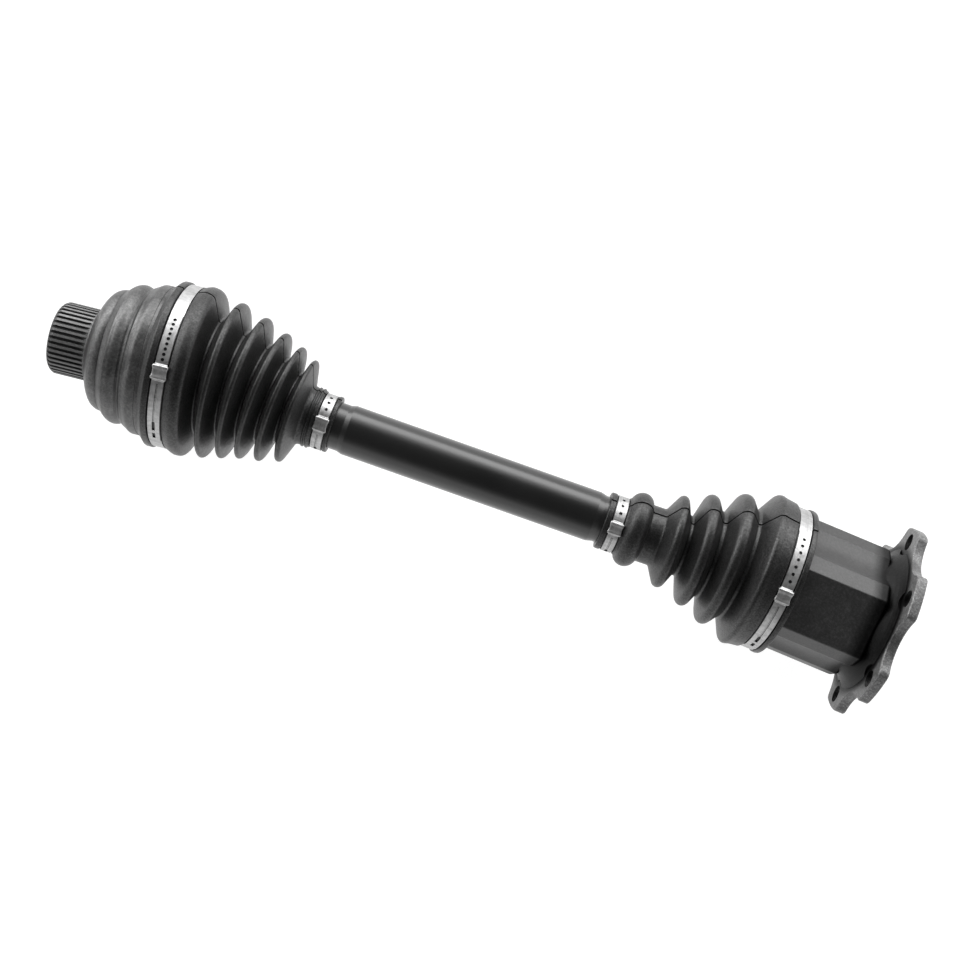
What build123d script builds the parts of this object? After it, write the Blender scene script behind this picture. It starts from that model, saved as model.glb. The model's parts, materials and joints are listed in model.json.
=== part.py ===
"""Drive axle with a sliding tripod joint at the flanged inner end and a fixed ball joint at the splined outer end.

Frame: origin at the centre of the flange's mating face, +X out of the flange along the inner housing's axis,
+Z up. Millimetres and degrees. The axle is drawn slightly bent at both joints, as it lies at rest.
"""

import os
from math import atan2, cos, degrees, radians, sin, sqrt

from build123d import *

os.makedirs("parts", exist_ok=True)

# ---------------------------------------------------------------- driving dimensions

# layout
inner_bend_rest = 3.3  # shaft against the inner housing, about +Z
outer_bend_rest = 5.4  # outer joint against the shaft, about +Z
tripod_x = -50.2  # tripod centre on the housing's axis
joint_spacing = 445.8  # tripod centre to ball joint centre

# flange
flange_t = 6.4
flange_tip_r = 62.9
scallop_r = 23.5
valley_r = 51.5  # flange radius at the bottom of a scallop
ear_corner_r = 4.5
flange_chamfer = 0.6
bolt_pcd = 108.0
bolt_hole_d = 11.0
bolt_count = 6
spot_face_r = 9.2

# inner housing, a three-lobed tulip
flat_angle = -10.1  # middle of the lobe that faces up, from +Z towards +Y
flat_dist = 40.3  # flat crown of each lobe, over a roller track
flat_half = 19.4
flat_sag = 0.2
web_edge_r = 41.15  # where the bevel beside a crown meets the hollow web
web_half_angle = 18.05
web_r = 36.9
tulip_mouth = -84.0
tulip_end = -13.0
bore_end = -9.0  # flange end of the bore and the tracks
track_r = 17.3
track_roof = 37.6
roof_block = 30.0  # depth of the block that cuts a track off flat
rib_r = 22.5
mouth_rib_r = 31.5

# tripod
trunnion_pcr = 27.5  # trunnion circle radius, to the middle of the rollers
trunnion_r = 9.98
trunnion_end = 35.7  # from the tripod centre, as are the next four
trunnion_tip_limit = 35.4  # edges beyond this are tip edges
collar_end = 20.6
needle_start = 21.3
retainer_start = 34.15
collar_r = 11.6
retainer_r = 12.4
retainer_t = 1.0
roller_r = 16.0
roller_h = 13.0
roller_bore_r = 13.0
needle_r = 1.45
needle_length = 12.5
needle_pcr = 11.5
needle_count = 23
spider_r = 19.5
spider_half = 12.0
spline_teeth = 28
spline_r = 13.0
spline_root = 12.1
spline_gap = 0.06

# circlips at both ends of the shaft
circlip_bore_r = 11.75
circlip_t = 1.7

# shaft
shaft_r = 16.2
seat_r = 15.2  # under the small ends of the boots
neck_r = 14.0
inner_neck_r = 13.2

# outer joint
ball_pcr = 31.5
ball_r = 8.73
ball_count = 6
ball_first = 30.0
race_r = 27.3
race_half = 12.0
race_track_r = 9.95
cage_in_r = 28.0
cage_out_r = 34.9
cage_half = 11.2
bell_bore_r = 35.3
bell_track_r = 10.35
bell_r = 48.5
bell_mouth = 27.5
bell_cavity_end = -27.0
stub_end = -57.15
stub_teeth = 42
stub_r = 23.15
stub_root = 21.75
stub_spline_start = -32.9
stub_shoulder = -31.1
bolt_thread_r = 7.25
washer_r = 18.5
washer_t = 2.4

# bellows and clamps
bellows_wall = 2.4
boot_gap = 0.06
bell_groove_r = 51.8  # floors of the clamp grooves in the boots
housing_groove_r = 46.9
shaft_groove_r = 17.15
band_t = 0.7
layer_sink = 0.05  # outer layer into the band below it
layer_h = 0.55
buckle_h = 1.0
dimple_r = 1.05

overshoot = 1.0  # cutters past open ends

# ---------------------------------------------------------------- axes and planes

a_shaft = inner_bend_rest
a_bell = inner_bend_rest + outer_bend_rest
a_cage = inner_bend_rest + outer_bend_rest / 2


def direction(angle):
    return Vector(cos(radians(angle)), sin(radians(angle)), 0)


def side(angle):
    return Vector(-sin(radians(angle)), cos(radians(angle)), 0)


origin = Vector(0, 0, 0)
tripod = Vector(tripod_x, 0, 0)
ball_centre = tripod - direction(a_shaft) * joint_spacing
up = Vector(0, 0, 1)


def length_plane(centre, angle):
    """Plane through an axis: local x along it, local y across it."""
    return Plane(origin=centre, x_dir=direction(angle), z_dir=up)


def station(start, angle, distance, lateral=0.0, tilt=0.0):
    """Plane square to an axis: local x is up, local y is sideways, and it faces back along the axis."""
    centre = start + direction(angle) * distance + side(angle) * lateral
    return Plane(origin=centre, x_dir=up, z_dir=direction(angle + tilt) * -1)


def spoke(angle, around):
    """Unit vector square to an axis, turned from +Z towards its side."""
    return up * cos(radians(around)) + side(angle) * sin(radians(around))


def spoke_plane(centre, angle, around, distance):
    """Plane facing outwards along a spoke, with local x along the axis."""
    radial = spoke(angle, around)
    return Plane(origin=centre + radial * distance, x_dir=direction(angle), z_dir=radial)


def track_plane(angle, around, start):
    """Plane across a ball track, start degrees along it from the ball circle, and the track's sweep axis."""
    along = direction(angle)
    radial = spoke(angle, around)
    x = radial * cos(radians(start)) + along * sin(radians(start))
    z = radial * -sin(radians(start)) + along * cos(radians(start))
    plane = Plane(origin=ball_centre, x_dir=x, z_dir=z)
    return plane, Axis(ball_centre, plane.y_dir * -1)


housing_plane = length_plane(origin, 0)
housing_axis = Axis((0, 0, 0), (1, 0, 0))
shaft_plane = length_plane(ball_centre, a_shaft)
shaft_axis = Axis(ball_centre, direction(a_shaft))
bell_plane = length_plane(ball_centre, a_bell)
bell_axis = Axis(ball_centre, direction(a_bell))
cage_plane = length_plane(ball_centre, a_cage)
cage_axis = Axis(ball_centre, direction(a_cage))
trunnion_angles = [flat_angle, flat_angle + 240, flat_angle + 120]
ball_angles = [ball_first + 360 / ball_count * k for k in range(ball_count)]

# ---------------------------------------------------------------- shared helpers


def polar(radius, angle):
    return (radius * cos(radians(angle)), radius * sin(radians(angle)))


def spline_outline(root, tip, teeth, root_share, tip_share):
    """Closed outline of a splined section; the shares are half tooth widths as parts of the pitch."""
    pitch = 360 / teeth
    root_half = pitch * root_share
    tip_half = pitch * tip_share
    points = []
    for k in range(teeth):
        middle = pitch * k
        points += [
            polar(root, middle - root_half),
            polar(tip, middle - tip_half),
            polar(tip, middle + tip_half),
            polar(root, middle + root_half),
        ]
    return points


def trim_to_half_slice(radius, length):
    """Trim the sketch in progress to a slice of the given length, on the +y side of the axis."""
    Rectangle(length, 2 * radius + 2, mode=Mode.INTERSECT)
    with Locations((0, -radius)):
        Rectangle(2 * radius, 2 * radius, mode=Mode.SUBTRACT)


def draw_sector(inner_r, outer_r, start, end):
    """Outline of a ring sector, drawn in the line builder in progress."""
    outside = CenterArc((0, 0), outer_r, start, end - start)
    inside = CenterArc((0, 0), inner_r, start, end - start)
    Line(outside @ 0, inside @ 0)
    Line(outside @ 1, inside @ 1)


def at_x(x):
    """Edge filter: centre at this X."""
    return lambda e: abs(e.center().X - x) < 0.01


def save(name, builder):
    builder.part.label = name
    export_step(builder.part, f"parts/{name}.step")


# ---------------------------------------------------------------- inner housing

# distance along the housing's axis, radius
hub_profile = [
    (tulip_end - 8, 0), (tulip_end - 8, 33.0), (-18.0, 35.6), (-15.8, 37.6), (-13.2, 39.4),
    (-11.0, 41.2), (-9.0, 43.4), (-7.8, 45.2), (-flange_t - 0.2, 47.6), (-flange_t + 2, 47.6),
    (-flange_t + 2, 0), (tulip_end - 8, 0),
]
bore_profile = [
    (tulip_mouth - 1, 0), (tulip_mouth - 1, mouth_rib_r + 0.34), (tulip_mouth + 26, rib_r),
    (bore_end, rib_r), (bore_end, 30.0), (-3.2, 30.0), (-3.2, 41.0), (1, 41.0), (1, 0),
    (tulip_mouth - 1, 0),
]

with BuildSketch() as tulip_outline:
    with BuildLine():
        corner = sqrt(flat_dist**2 + flat_half**2)
        half = degrees(atan2(flat_half, flat_dist))
        for k in range(3):
            lobe = flat_angle + 120 * k
            first = polar(corner, lobe - half)
            last = polar(corner, lobe + half)
            ThreePointArc(first, polar(flat_dist - flat_sag, lobe), last)
            web_start = polar(web_edge_r, lobe + 60 - web_half_angle)
            web_end = polar(web_edge_r, lobe + 60 + web_half_angle)
            Line(last, web_start)
            ThreePointArc(web_start, polar(web_r, lobe + 60), web_end)
            Line(web_end, polar(corner, lobe + 120 - half))
    make_face()
    fillet(tulip_outline.vertices(), radius=1.6)

with BuildPart() as inner_housing:
    # flange with six ears
    with BuildSketch(station(origin, 0, 0)):
        Circle(flange_tip_r)
        with PolarLocations(valley_r + scallop_r, bolt_count, start_angle=flat_angle):
            Circle(scallop_r, mode=Mode.SUBTRACT)
    extrude(amount=flange_t)
    fillet(inner_housing.edges().filter_by(Axis.X), radius=ear_corner_r)
    for face_x in (0, -flange_t):
        chamfer(inner_housing.edges().filter_by(at_x(face_x)), length=flange_chamfer)
    # three-lobed body
    with BuildSketch(station(origin, 0, tulip_end)):
        add(tulip_outline.sketch)
    extrude(amount=tulip_end - tulip_mouth)
    fillet(inner_housing.edges().filter_by(at_x(tulip_end)), radius=2.2)
    chamfer(inner_housing.edges().filter_by(at_x(tulip_mouth)), length=1.2)
    # neck and flared hub behind the flange
    with BuildSketch(housing_plane):
        with BuildLine():
            Polyline(*hub_profile)
        make_face()
    revolve(axis=housing_axis)
    # spot faces and bolt holes
    with BuildSketch(station(origin, 0, -flange_t)):
        with PolarLocations(bolt_pcd / 2, bolt_count, start_angle=flat_angle + 30):
            Circle(spot_face_r)
    extrude(amount=14, mode=Mode.SUBTRACT)
    with BuildSketch(station(origin, 0, overshoot)):
        with PolarLocations(bolt_pcd / 2, bolt_count, start_angle=flat_angle + 30):
            Circle(bolt_hole_d / 2)
    extrude(amount=flange_t + 3 * overshoot, mode=Mode.SUBTRACT)
    # bore between the tracks, flared at the mouth, with a recess in the mating face
    with BuildSketch(housing_plane):
        with BuildLine():
            Polyline(*bore_profile)
        make_face()
    revolve(axis=housing_axis, mode=Mode.SUBTRACT)
    # three roller tracks
    for angle in trunnion_angles:
        with BuildSketch(station(origin, 0, bore_end)):
            with Locations(polar(trunnion_pcr, angle)):
                Circle(track_r)
            with Locations(Location((0, 0, 0), (0, 0, 1), angle)):
                with Locations((track_roof - roof_block / 2, 0)):
                    Rectangle(roof_block, 60, mode=Mode.INTERSECT)
        extrude(amount=bore_end - tulip_mouth + overshoot, mode=Mode.SUBTRACT)
save("inner_housing", inner_housing)

# pressed sheet cover in the recess of the mating face: distance along the housing's axis, radius
cap_profile = [
    (-3.15, 40.85), (-0.7, 40.85), (-0.7, 39.6), (-1.85, 39.0), (-1.85, 29.2), (-5.2, 26.0),
    (-5.2, 9.0), (-4.2, 7.4), (-4.2, 0), (-5.5, 0), (-5.5, 8.2), (-6.5, 9.4), (-6.5, 26.6),
    (-3.15, 29.9), (-3.15, 40.85),
]
with BuildPart() as inner_end_cap:
    with BuildSketch(housing_plane):
        with BuildLine():
            Polyline(*cap_profile)
        make_face()
    revolve(axis=housing_axis)
save("inner_end_cap", inner_end_cap)

# ---------------------------------------------------------------- tripod

shaft_spline = spline_outline(spline_root, spline_r, spline_teeth, 0.30, 0.18)
bore_spline = spline_outline(
    spline_root + spline_gap, spline_r + spline_gap, spline_teeth, 0.33, 0.21
)

with BuildPart() as tripod_spider:
    with BuildSketch(station(tripod, a_shaft, spider_half)):
        Circle(spider_r)
    extrude(amount=2 * spider_half)
    chamfer(tripod_spider.edges().filter_by(GeomType.CIRCLE), length=1.5)
    # each trunnion, then the collar between hub and roller
    for angle in trunnion_angles:
        for radius, height in ((trunnion_r, trunnion_end), (collar_r, collar_end)):
            with BuildSketch(spoke_plane(tripod, a_shaft, angle, 0)):
                Circle(radius)
            extrude(amount=height)
    tip_edges = tripod_spider.edges().filter_by(GeomType.CIRCLE).filter_by(
        lambda e: (e.center() - tripod).length > trunnion_tip_limit
    )
    chamfer(tip_edges, length=0.8)
    with BuildSketch(station(tripod, a_shaft, spider_half + overshoot)):
        with BuildLine():
            Polyline(*bore_spline, close=True)
        make_face()
    extrude(amount=2 * (spider_half + overshoot), mode=Mode.SUBTRACT)
save("tripod_spider", tripod_spider)

for number, angle in enumerate(trunnion_angles, 1):
    radial = spoke(a_shaft, angle)
    centre = tripod + radial * trunnion_pcr

    with BuildPart() as roller:
        # spherical outside, plain bore
        with BuildSketch(Plane(origin=centre, x_dir=radial, z_dir=direction(a_shaft))):
            Circle(roller_r)
            trim_to_half_slice(roller_r, roller_h)
            Rectangle(roller_h + 2, 2 * roller_bore_r, mode=Mode.SUBTRACT)
        revolve(axis=Axis(centre, radial))
        bore_edges = roller.edges().filter_by(GeomType.CIRCLE).filter_by(
            lambda e: abs(e.radius - roller_bore_r) < 0.01
        )
        chamfer(bore_edges, length=0.4)
    save(f"roller_{number}", roller)

    with BuildPart() as needles:
        with BuildSketch(spoke_plane(tripod, a_shaft, angle, needle_start)):
            with PolarLocations(needle_pcr, needle_count):
                Circle(needle_r)
        extrude(amount=needle_length)
    save(f"needles_{number}", needles)

with BuildPart() as roller_retainers:
    # one split ring on each trunnion, beyond its needles
    for angle in trunnion_angles:
        with BuildSketch(spoke_plane(tripod, a_shaft, angle, retainer_start)):
            Circle(retainer_r)
            Circle(trunnion_r + 0.04, mode=Mode.SUBTRACT)
            with Locations((11.5, 0)):
                Rectangle(5, 3, mode=Mode.SUBTRACT)
        extrude(amount=retainer_t)
save("roller_retainers", roller_retainers)


def make_circlip(name, centre, distance, outer_r):
    """Ring on the shaft, split on its sideways (+Y) side."""
    with BuildPart() as circlip:
        with BuildSketch(station(centre, a_shaft, distance)):
            Circle(outer_r)
            Circle(circlip_bore_r, mode=Mode.SUBTRACT)
            with Locations((0, 13)):
                Rectangle(6, 8, mode=Mode.SUBTRACT)
        extrude(amount=circlip_t)
    save(name, circlip)


make_circlip("spider_circlip", tripod, spider_half + 1.9, outer_r=15.4)

# ---------------------------------------------------------------- drive shaft

# splined lengths under the inner race and under the spider, from the ball centre
race_spline = (-12.1, 17.2)
spider_spline = (joint_spacing - 12.2, joint_spacing + 12.1)

# distance from the ball centre along the shaft's axis, radius
shaft_profile = [
    (-16.5, 0), (-16.5, 11.2), (-15.9, 11.7), (-14.1, 11.7), (-14.1, 11.6), (-12.15, 11.6),
    (-12.15, spline_root), (race_spline[1], spline_root), (race_spline[1], neck_r),
    (62.0, neck_r), (66.0, seat_r), (133.4, seat_r), (136.6, shaft_r), (301.0, shaft_r),
    (305.0, seat_r), (joint_spacing - 124.0, seat_r),
    (joint_spacing - 118.0, inner_neck_r), (joint_spacing - 14.6, inner_neck_r),
    (joint_spacing - 14.4, 14.4), (spider_spline[0], 14.4), (spider_spline[0], spline_root),
    (spider_spline[1], spline_root), (spider_spline[1], 11.6), (joint_spacing + 14.0, 11.6),
    (joint_spacing + 14.0, 11.7), (joint_spacing + 15.6, 11.7), (joint_spacing + 16.4, 11.0),
    (joint_spacing + 16.4, 0), (-16.5, 0),
]

with BuildPart() as drive_shaft:
    with BuildSketch(shaft_plane):
        with BuildLine():
            Polyline(*shaft_profile)
        make_face()
    revolve(axis=shaft_axis)
    for start, end in (race_spline, spider_spline):
        with BuildSketch(station(ball_centre, a_shaft, end)):
            with BuildLine():
                Polyline(*shaft_spline, close=True)
            make_face()
        extrude(amount=end - start)
save("drive_shaft", drive_shaft)

# ---------------------------------------------------------------- outer joint

with BuildPart() as outer_inner_race:
    with BuildSketch(shaft_plane):
        Circle(race_r)
        trim_to_half_slice(race_r, 2 * race_half)
    revolve(axis=shaft_axis)
    for angle in ball_angles:
        plane, sweep_axis = track_plane(a_shaft, angle, -55)
        with BuildSketch(plane):
            with Locations((ball_pcr, 0)):
                Circle(race_track_r)
        revolve(axis=sweep_axis, revolution_arc=110, mode=Mode.SUBTRACT)
    with BuildSketch(station(ball_centre, a_shaft, race_half + overshoot)):
        with BuildLine():
            Polyline(*bore_spline, close=True)
        make_face()
    extrude(amount=2 * (race_half + overshoot), mode=Mode.SUBTRACT)
save("outer_inner_race", outer_inner_race)

with BuildPart() as ball_cage:
    with BuildSketch(cage_plane):
        Circle(cage_out_r)
        Circle(cage_in_r, mode=Mode.SUBTRACT)
        trim_to_half_slice(cage_out_r, 2 * cage_half)
    revolve(axis=cage_axis)
    # one rounded window for each ball
    for angle in ball_angles:
        with BuildSketch(spoke_plane(ball_centre, a_cage, angle, 20)):
            RectangleRounded(2 * ball_r + 0.14, 21.0, 6.0)
        extrude(amount=20, mode=Mode.SUBTRACT)
save("ball_cage", ball_cage)

for number, angle in enumerate(ball_angles, 1):
    with BuildPart(Plane(origin=ball_centre + spoke(a_cage, angle) * ball_pcr)) as ball:
        Sphere(ball_r)
    save(f"ball_{number}", ball)

# All bell tables: distance from the ball centre along the bell's axis, radius.
# The outside runs from the stub's shoulder to the mouth in three swells.
root_curve = [(-36.4, stub_root), (-34.2, 22.3), (-32.6, 23.7)]
back_swell = [
    (stub_shoulder, 26.6), (-28.9, 31.75), (-27.0, 35.1), (-24.8, 37.6), (-22.4, 38.9), (-19.7, 39.35),
]
middle_swell = [
    (-18.9, 39.35), (-16.9, 41.2), (-14.6, 43.3), (-12.3, 44.6), (-9.9, 45.1), (-7.6, 44.7), (-5.9, 43.75),
]
front_swell = [(-4.7, 43.75), (-1.9, 45.5), (0.2, 46.7), (2.0, 47.9), (4.2, bell_r)]
bore_mouth = (11.5, 33.38)  # where the mouth's cone meets the spherical bore
cavity_corner = (bell_cavity_end, sqrt(bell_bore_r**2 - bell_cavity_end**2))
stub_bevel = [
    (stub_end - 1, 19.6), (stub_end + 0.2, 21.0), (stub_end + 1.3, 22.2),
    (stub_end + 3.2, stub_r + 0.1), (stub_end + 3.2, 26), (stub_end - 1, 26), (stub_end - 1, 19.6),
]
bolt_bore = [
    (stub_end - 1, 0), (stub_end - 1, 10.2), (stub_end, 9.2), (stub_end + 1.95, bolt_thread_r),
    (-33.4, bolt_thread_r), (-30.4, 0), (stub_end - 1, 0),
]
turning_grooves = [(-15.2, 43.1), (-25.6, 37.2), (8.6, bell_r + 0.12)]

with BuildPart() as outer_bell:
    # bell and stub turned as one forging
    with BuildSketch(bell_plane):
        with BuildLine():
            Polyline(
                (stub_end, 0), (stub_end, stub_root - 0.9), (stub_end + 1.4, stub_root), root_curve[0]
            )
            Spline(*root_curve, tangents=[(1, 0), (0.5, 1)])
            Line(root_curve[-1], (stub_shoulder, 24.3))
            Line((stub_shoulder, 24.3), back_swell[0])
            Spline(*back_swell, tangents=[(0.4, 1), (1, 0.02)])
            Line(back_swell[-1], middle_swell[0])
            Spline(*middle_swell)
            Line(middle_swell[-1], front_swell[0])
            Spline(*front_swell, tangents=[(1, 0.5), (1, 0)])
            Polyline(
                front_swell[-1], (bell_mouth - 0.8, bell_r), (bell_mouth, bell_r - 0.8),
                (bell_mouth, 46.4), bore_mouth,
            )
            ThreePointArc(bore_mouth, (0, bell_bore_r), cavity_corner)
            Polyline(cavity_corner, (bell_cavity_end, 0), (stub_end, 0))
        make_face()
    revolve(axis=bell_axis)
    # fine turning grooves on the outside
    with BuildSketch(bell_plane):
        for groove_at in turning_grooves:
            with Locations(groove_at):
                Rectangle(0.5, 0.5, rotation=20)
    revolve(axis=bell_axis, mode=Mode.SUBTRACT)
    # outside spline of the stub
    with BuildSketch(station(ball_centre, a_bell, stub_spline_start)):
        with BuildLine():
            Polyline(*spline_outline(stub_root - 0.1, stub_r, stub_teeth, 0.34, 0.21), close=True)
        make_face()
    extrude(amount=stub_spline_start - stub_end)
    # bevel on the spline's free end
    with BuildSketch(bell_plane):
        with BuildLine():
            Polyline(*stub_bevel)
        make_face()
    revolve(axis=bell_axis, mode=Mode.SUBTRACT)
    # ball tracks
    for angle in ball_angles:
        plane, sweep_axis = track_plane(a_bell, angle, -41)
        with BuildSketch(plane):
            with Locations((ball_pcr, 0)):
                Circle(bell_track_r)
        revolve(axis=sweep_axis, revolution_arc=106, mode=Mode.SUBTRACT)
    # plain bore for the axle bolt's thread, with a countersink
    with BuildSketch(bell_plane):
        with BuildLine():
            Polyline(*bolt_bore)
        make_face()
    revolve(axis=bell_axis, mode=Mode.SUBTRACT)
save("outer_bell", outer_bell)

make_circlip("race_circlip", ball_centre, -race_half - 0.2, outer_r=15.0)

with BuildPart() as thrust_washer:
    with BuildSketch(station(ball_centre, a_shaft, 14.6)):
        Circle(washer_r)
        Circle(spline_r + 0.05, mode=Mode.SUBTRACT)
    extrude(amount=washer_t)
save("thrust_washer", thrust_washer)

# distance from the ball centre along the shaft's axis, radius
spring_profile = [
    (14.75, 18.4), (16.0, 18.6), (17.05, spline_r + 0.1), (15.6, spline_r + 0.1), (14.75, 18.4),
]
with BuildPart() as dished_spring:
    with BuildSketch(shaft_plane):
        with BuildLine():
            Polyline(*spring_profile)
        make_face()
    revolve(axis=shaft_axis)
save("dished_spring", dished_spring)

# ---------------------------------------------------------------- bellows


def square_section(bend, distance, radius):
    """Section square to an axis bent from the shaft's: its row in the tables below."""
    return (distance * cos(radians(bend)), distance * sin(radians(bend)), bend, radius)


def inside_sections(sections, start, end):
    """The sections between two distances, drawn in by the wall."""
    return [(a, lateral, tilt, r - bellows_wall) for a, lateral, tilt, r in sections if start < a < end]


def make_boot(name, centre, outside, hollow, lobed_seat=False):
    """Lofted bellows, less its hollow and, where asked, a three-lobed seat on the housing."""
    with BuildPart() as boot:
        for sections, mode in ((outside, Mode.ADD), (hollow, Mode.SUBTRACT)):
            for distance, lateral, tilt, radius in sections:
                with BuildSketch(station(centre, a_shaft, distance, lateral, tilt)):
                    Circle(radius)
            loft(ruled=True, mode=mode)
        if lobed_seat:
            seat_end = -60.0
            with BuildSketch(station(origin, 0, seat_end)):
                add(tulip_outline.sketch)
                offset(amount=0.08)
            extrude(amount=seat_end - tulip_mouth + 0.6, mode=Mode.SUBTRACT)
    save(name, boot)


# ends seated on the bell and on the housing: distance along that part's axis, outer radius
bell_end_rows = [
    (10.9, 50.4), (12.3, 51.4), (14.6, 53.2), (17.2, 53.6), (18.3, 53.0),
    (18.4, bell_groove_r), (27.4, bell_groove_r), (27.6, 52.8), (30.0, 54.0),
]
housing_end_rows = [
    (-29.0, 48.8), (-28.8, housing_groove_r), (-19.8, housing_groove_r), (-19.6, 48.6), (-16.2, 48.5),
]

# folds and shaft ends: distance along the shaft's axis, sideways shift, tilt, outer radius
outer_sections = [square_section(outer_bend_rest, *row) for row in bell_end_rows] + [
    (34.6, 2.54, 5.7, 54.6), (39.2, 2.7, 5.1, 52.0), (43.2, 2.8, 4.5, 38.1), (49.4, 2.95, 3.5, 49.8),
    (51.1, 2.98, 3.2, 50.8), (52.8, 2.98, 2.9, 49.4), (58.4, 2.95, 1.6, 34.9), (64.0, 2.92, 0.3, 46.2),
    (65.4, 2.92, 0.0, 47.0), (66.9, 2.85, -0.3, 45.8), (72.1, 2.5, -1.5, 31.75), (77.2, 2.2, -2.8, 42.0),
    (78.4, 2.16, -3.0, 42.7), (79.8, 2.1, -3.0, 41.6), (84.5, 1.6, -3.1, 27.9), (89.4, 1.05, -3.3, 38.2),
    (90.5, 1.0, -3.3, 38.9), (91.8, 0.9, -3.2, 37.7), (95.9, 0.6, -2.7, 23.5), (100.6, 0.46, -2.2, 33.8),
    (101.6, 0.44, -2.1, 34.4), (102.8, 0.3, -1.5, 33.0), (106.2, 0.1, -0.5, 22.4), (108.6, 0, 0, 19.2),
    (116.3, 0, 0, 18.9), (116.4, 0, 0, shaft_groove_r), (124.6, 0, 0, shaft_groove_r),
    (124.7, 0, 0, 18.4), (127.0, 0, 0, 18.4),
]
inner_sections = [
    (-138.4, 0, 0, 18.6), (-134.8, 0, 0, 18.7), (-134.7, 0, 0, shaft_groove_r),
    (-126.5, 0, 0, shaft_groove_r), (-126.4, 0.1, 0, 18.6),
    (-124.0, 0.5, 0, 20.6), (-121.4, 0.6, 0, 23.4), (-118.1, 0.7, 0, 24.4), (-114.8, 0.75, 0, 23.4),
    (-112.0, 0.8, 0, 20.6), (-109.4, 0.85, 0, 18.9), (-101.8, 0.95, 0, 18.9), (-98.4, 1.1, 0.4, 22.2),
    (-94.8, 1.25, 0.8, 29.6), (-93.0, 1.27, 1.0, 30.5), (-91.0, 1.3, 1.2, 29.0), (-85.1, 1.4, 1.6, 19.9),
    (-79.2, 1.55, 1.9, 35.4), (-76.8, 1.6, 2.0, 36.8), (-74.0, 1.7, 1.5, 35.2), (-67.3, 1.9, 0.3, 28.6),
    (-61.8, 2.1, -1.2, 42.4), (-59.05, 2.2, -1.5, 43.8), (-56.0, 2.1, -1.8, 42.2), (-48.9, 1.9, -2.2, 36.9),
    (-43.4, 1.75, -2.4, 48.8), (-40.3, 1.65, -2.5, 50.2), (-37.0, 1.7, -2.8, 49.9),
] + [square_section(-inner_bend_rest, *row) for row in housing_end_rows]

# hollows, seated on the bell or facing the housing at one end and seated on the shaft at the other
outer_hollow = [
    square_section(outer_bend_rest, 9.5, bell_r + boot_gap),
    square_section(outer_bend_rest, bell_mouth + 0.3, bell_r + boot_gap),
    *inside_sections(outer_sections, 34, 109),
    (114.0, 0, 0, seat_r + 0.3), (114.5, 0, 0, seat_r + boot_gap), (129.0, 0, 0, seat_r + boot_gap),
]
inner_hollow = [
    (-140.0, 0, 0, seat_r + boot_gap), (-125.6, 0, 0, seat_r + boot_gap),
    *inside_sections(inner_sections, -124.5, -36),
    square_section(-inner_bend_rest, tulip_mouth - tripod_x - 0.4, 47.0),
]

make_boot("outer_boot", ball_centre, outer_sections, outer_hollow)
make_boot("inner_boot", tripod, inner_sections, inner_hollow, lobed_seat=True)

# ---------------------------------------------------------------- band clamps

# width, then the ends of the groove-side slot and the tail slot in degrees from the groove's start
large_band = (8.0, 7, -4)
small_band = (7.2, 14, -3)

# name, band sizes, middle of the band, its axis, inner radius,
# then overlap end, buckle and groove in degrees from +Z towards the side, and number of dimples
clamps = [
    ("outer_clamp_large", large_band, ball_centre + direction(a_bell) * 22.9, a_bell,
     bell_groove_r + 0.06, 33, (-12.5, -4), (-52, -16), 9),
    ("inner_clamp_large", large_band, tripod + Vector(-24.3, 0, 0), 0,
     housing_groove_r + 0.06, 42, (-15, -6), (-58, -19), 7),
    ("outer_clamp_small", small_band, ball_centre + direction(a_shaft) * 120.5, a_shaft,
     shaft_groove_r + 0.05, 75, (-20, 4), (-84, -30), 3),
    ("inner_clamp_small", small_band, tripod - direction(a_shaft) * 130.6, a_shaft,
     shaft_groove_r + 0.05, 80, (-19, 2), (-84, -28), 3),
]


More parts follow.
